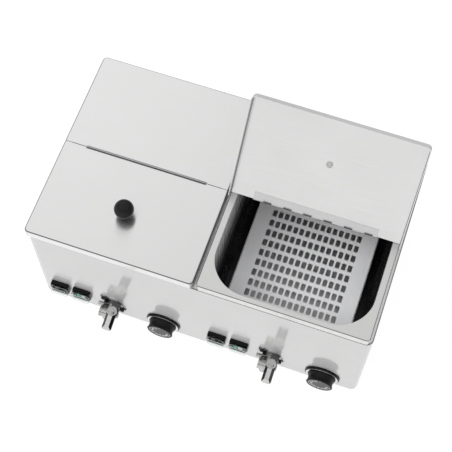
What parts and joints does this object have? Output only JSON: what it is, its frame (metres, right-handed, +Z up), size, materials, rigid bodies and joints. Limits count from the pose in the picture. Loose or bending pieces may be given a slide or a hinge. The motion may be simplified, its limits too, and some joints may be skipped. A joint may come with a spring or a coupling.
{
  "type": "sausage warmer",
  "caption": "Countertop water-bath sausage warmer: tanks side by side under split hinged covers, perforated inserts, thermostat dials, rocker switches, lamps and drain taps.",
  "frame": {"origin": "middle of the bounding box in plan, at the height of the feet undersides", "axes": "+Z up, +X along the front to the right as seen from the front, +Y from the control panel to the rear wall"},
  "size_m": [0.5406, 0.3906, 0.3925],
  "materials": {
    "panel_steel": "fine grained stainless sheet",
    "lid_steel": "fine grained stainless sheet",
    "tank_steel": "pressed stainless, smooth",
    "insert_steel": "pressed stainless, satin",
    "plain_steel": "mill finish",
    "bright_steel": "bright",
    "hinge_steel": "rolled",
    "heater_sheath": "heat tinted",
    "tap_chrome": "satin chrome",
    "lever_chrome": "cast, chromed",
    "bright_trim": "polished",
    "brass_nut": "machined",
    "copper_bulb": "drawn copper",
    "foot_rubber": "matt",
    "black_moulding": "moulded",
    "grey_moulding": "moulded",
    "white_moulding": "moulded",
    "black_gloss": "glossy",
    "ball_plastic": "semi-gloss moulding",
    "knob_plastic": "semi-matt moulding",
    "rocker_plastic": "semi-gloss",
    "dial_print": "grey plate with white figures",
    "black_screw": "black oxide",
    "green_lens": "translucent",
    "clear_lens": "translucent",
    "clear_cap": "clear soft moulding"
  },
  "bodies": {
    "warmer": {"housing_shell": "panel_steel", "base_plate": "plain_steel", "feet": "foot_rubber", "base_screws": "bright_steel", "tank_left": "tank_steel", "tank_right": "tank_steel", "heater_left": "heater_sheath", "heater_right": "heater_sheath", "heater_clamp_left": "plain_steel", "heater_clamp_right": "plain_steel", "overheat_cutouts": "black_moulding", "sensor_bulbs": "copper_bulb", "thermostat_left": "black_moulding", "thermostat_right": "black_moulding", "drain_pipe_left": "plain_steel", "drain_pipe_right": "plain_steel", "tap_body_left": "tap_chrome", "tap_body_right": "tap_chrome", "tap_locknuts": "brass_nut", "tap_flange_screws": "black_screw", "dial_bezel_left": "black_gloss", "dial_bezel_right": "black_gloss", "bezel_rings": "bright_trim", "switch_frame_left": "black_gloss", "switch_frame_right": "black_gloss", "lamp_frame_left": "black_gloss", "lamp_frame_right": "black_gloss", "green_lenses": "green_lens", "clear_lenses": "clear_lens", "splash_caps": "clear_cap", "cable_gland": "grey_moulding", "terminal_block": "white_moulding"},
    "cover_left": {"rear_cover_left": "lid_steel", "fixed_leaf_left": "hinge_steel", "hinge_pin_left": "hinge_steel"},
    "lid_left": {"front_lid_left": "lid_steel", "lid_leaf_left": "hinge_steel", "lid_ball_left": "ball_plastic", "lid_screw_left": "bright_steel"},
    "dial_left": {"dial_knob_left": "knob_plastic", "dial_plate_left": "dial_print"},
    "switch_left": {"rocker_left": "rocker_plastic"},
    "tap_left": {"tap_lever_left": "lever_chrome", "tap_ball_left": "tap_chrome"},
    "insert_left": {"perforated_insert_left": "insert_steel"},
    "cover_right": {"rear_cover_right": "lid_steel", "fixed_leaf_right": "hinge_steel", "hinge_pin_right": "hinge_steel"},
    "lid_right": {"front_lid_right": "lid_steel", "lid_leaf_right": "hinge_steel", "lid_ball_right": "ball_plastic", "lid_screw_right": "bright_steel"},
    "dial_right": {"dial_knob_right": "knob_plastic", "dial_plate_right": "dial_print"},
    "switch_right": {"rocker_right": "rocker_plastic"},
    "tap_right": {"tap_lever_right": "lever_chrome", "tap_ball_right": "tap_chrome"},
    "insert_right": {"perforated_insert_right": "insert_steel"}
  },
  "joints": [
    {"name": "cover_lift_left", "type": "slide", "parent": "warmer", "child": "cover_left", "axis": [0, 0, 1], "range_m": [0, 0.05]},
    {"name": "lid_hinge_left", "type": "hinge", "parent": "cover_left", "child": "lid_left", "pos_m": [-0.1368, 0.01584, 0.2555], "axis": [-1, 0, 0], "range_deg": [0, 129]},
    {"name": "insert_lift_left", "type": "slide", "parent": "warmer", "child": "insert_left", "axis": [0, 0, 1], "range_m": [0, 0.096]},
    {"name": "dial_turn_left", "type": "hinge", "parent": "warmer", "child": "dial_left", "pos_m": [-0.05783, -0.14616, 0.051], "axis": [0, 1, 0], "range_deg": [0, 270]},
    {"name": "switch_rock_left", "type": "hinge", "parent": "warmer", "child": "switch_left", "pos_m": [-0.23535, -0.14466, 0.066], "axis": [0, 0, -1], "range_deg": [0, 12]},
    {"name": "tap_turn_left", "type": "hinge", "parent": "warmer", "child": "tap_left", "pos_m": [-0.13822, -0.16566, 0.0635], "axis": [0, 0, 1], "range_deg": [0, 90]},
    {"name": "cover_lift_right", "type": "slide", "parent": "warmer", "child": "cover_right", "axis": [0, 0, 1], "range_m": [0, 0.05]},
    {"name": "lid_hinge_right", "type": "hinge", "parent": "cover_right", "child": "lid_right", "pos_m": [0.1332, 0.01584, 0.2555], "axis": [1, 0, 0], "range_deg": [0, 129]},
    {"name": "insert_lift_right", "type": "slide", "parent": "warmer", "child": "insert_right", "axis": [0, 0, 1], "range_m": [0, 0.096]},
    {"name": "dial_turn_right", "type": "hinge", "parent": "warmer", "child": "dial_right", "pos_m": [0.21218, -0.14616, 0.051], "axis": [0, 1, 0], "range_deg": [0, 270]},
    {"name": "switch_rock_right", "type": "hinge", "parent": "warmer", "child": "switch_right", "pos_m": [0.03465, -0.14466, 0.066], "axis": [0, 0, -1], "range_deg": [0, 12]},
    {"name": "tap_turn_right", "type": "hinge", "parent": "warmer", "child": "tap_right", "pos_m": [0.13178, -0.16566, 0.0635], "axis": [0, 0, 1], "range_deg": [0, 90]}
  ]
}
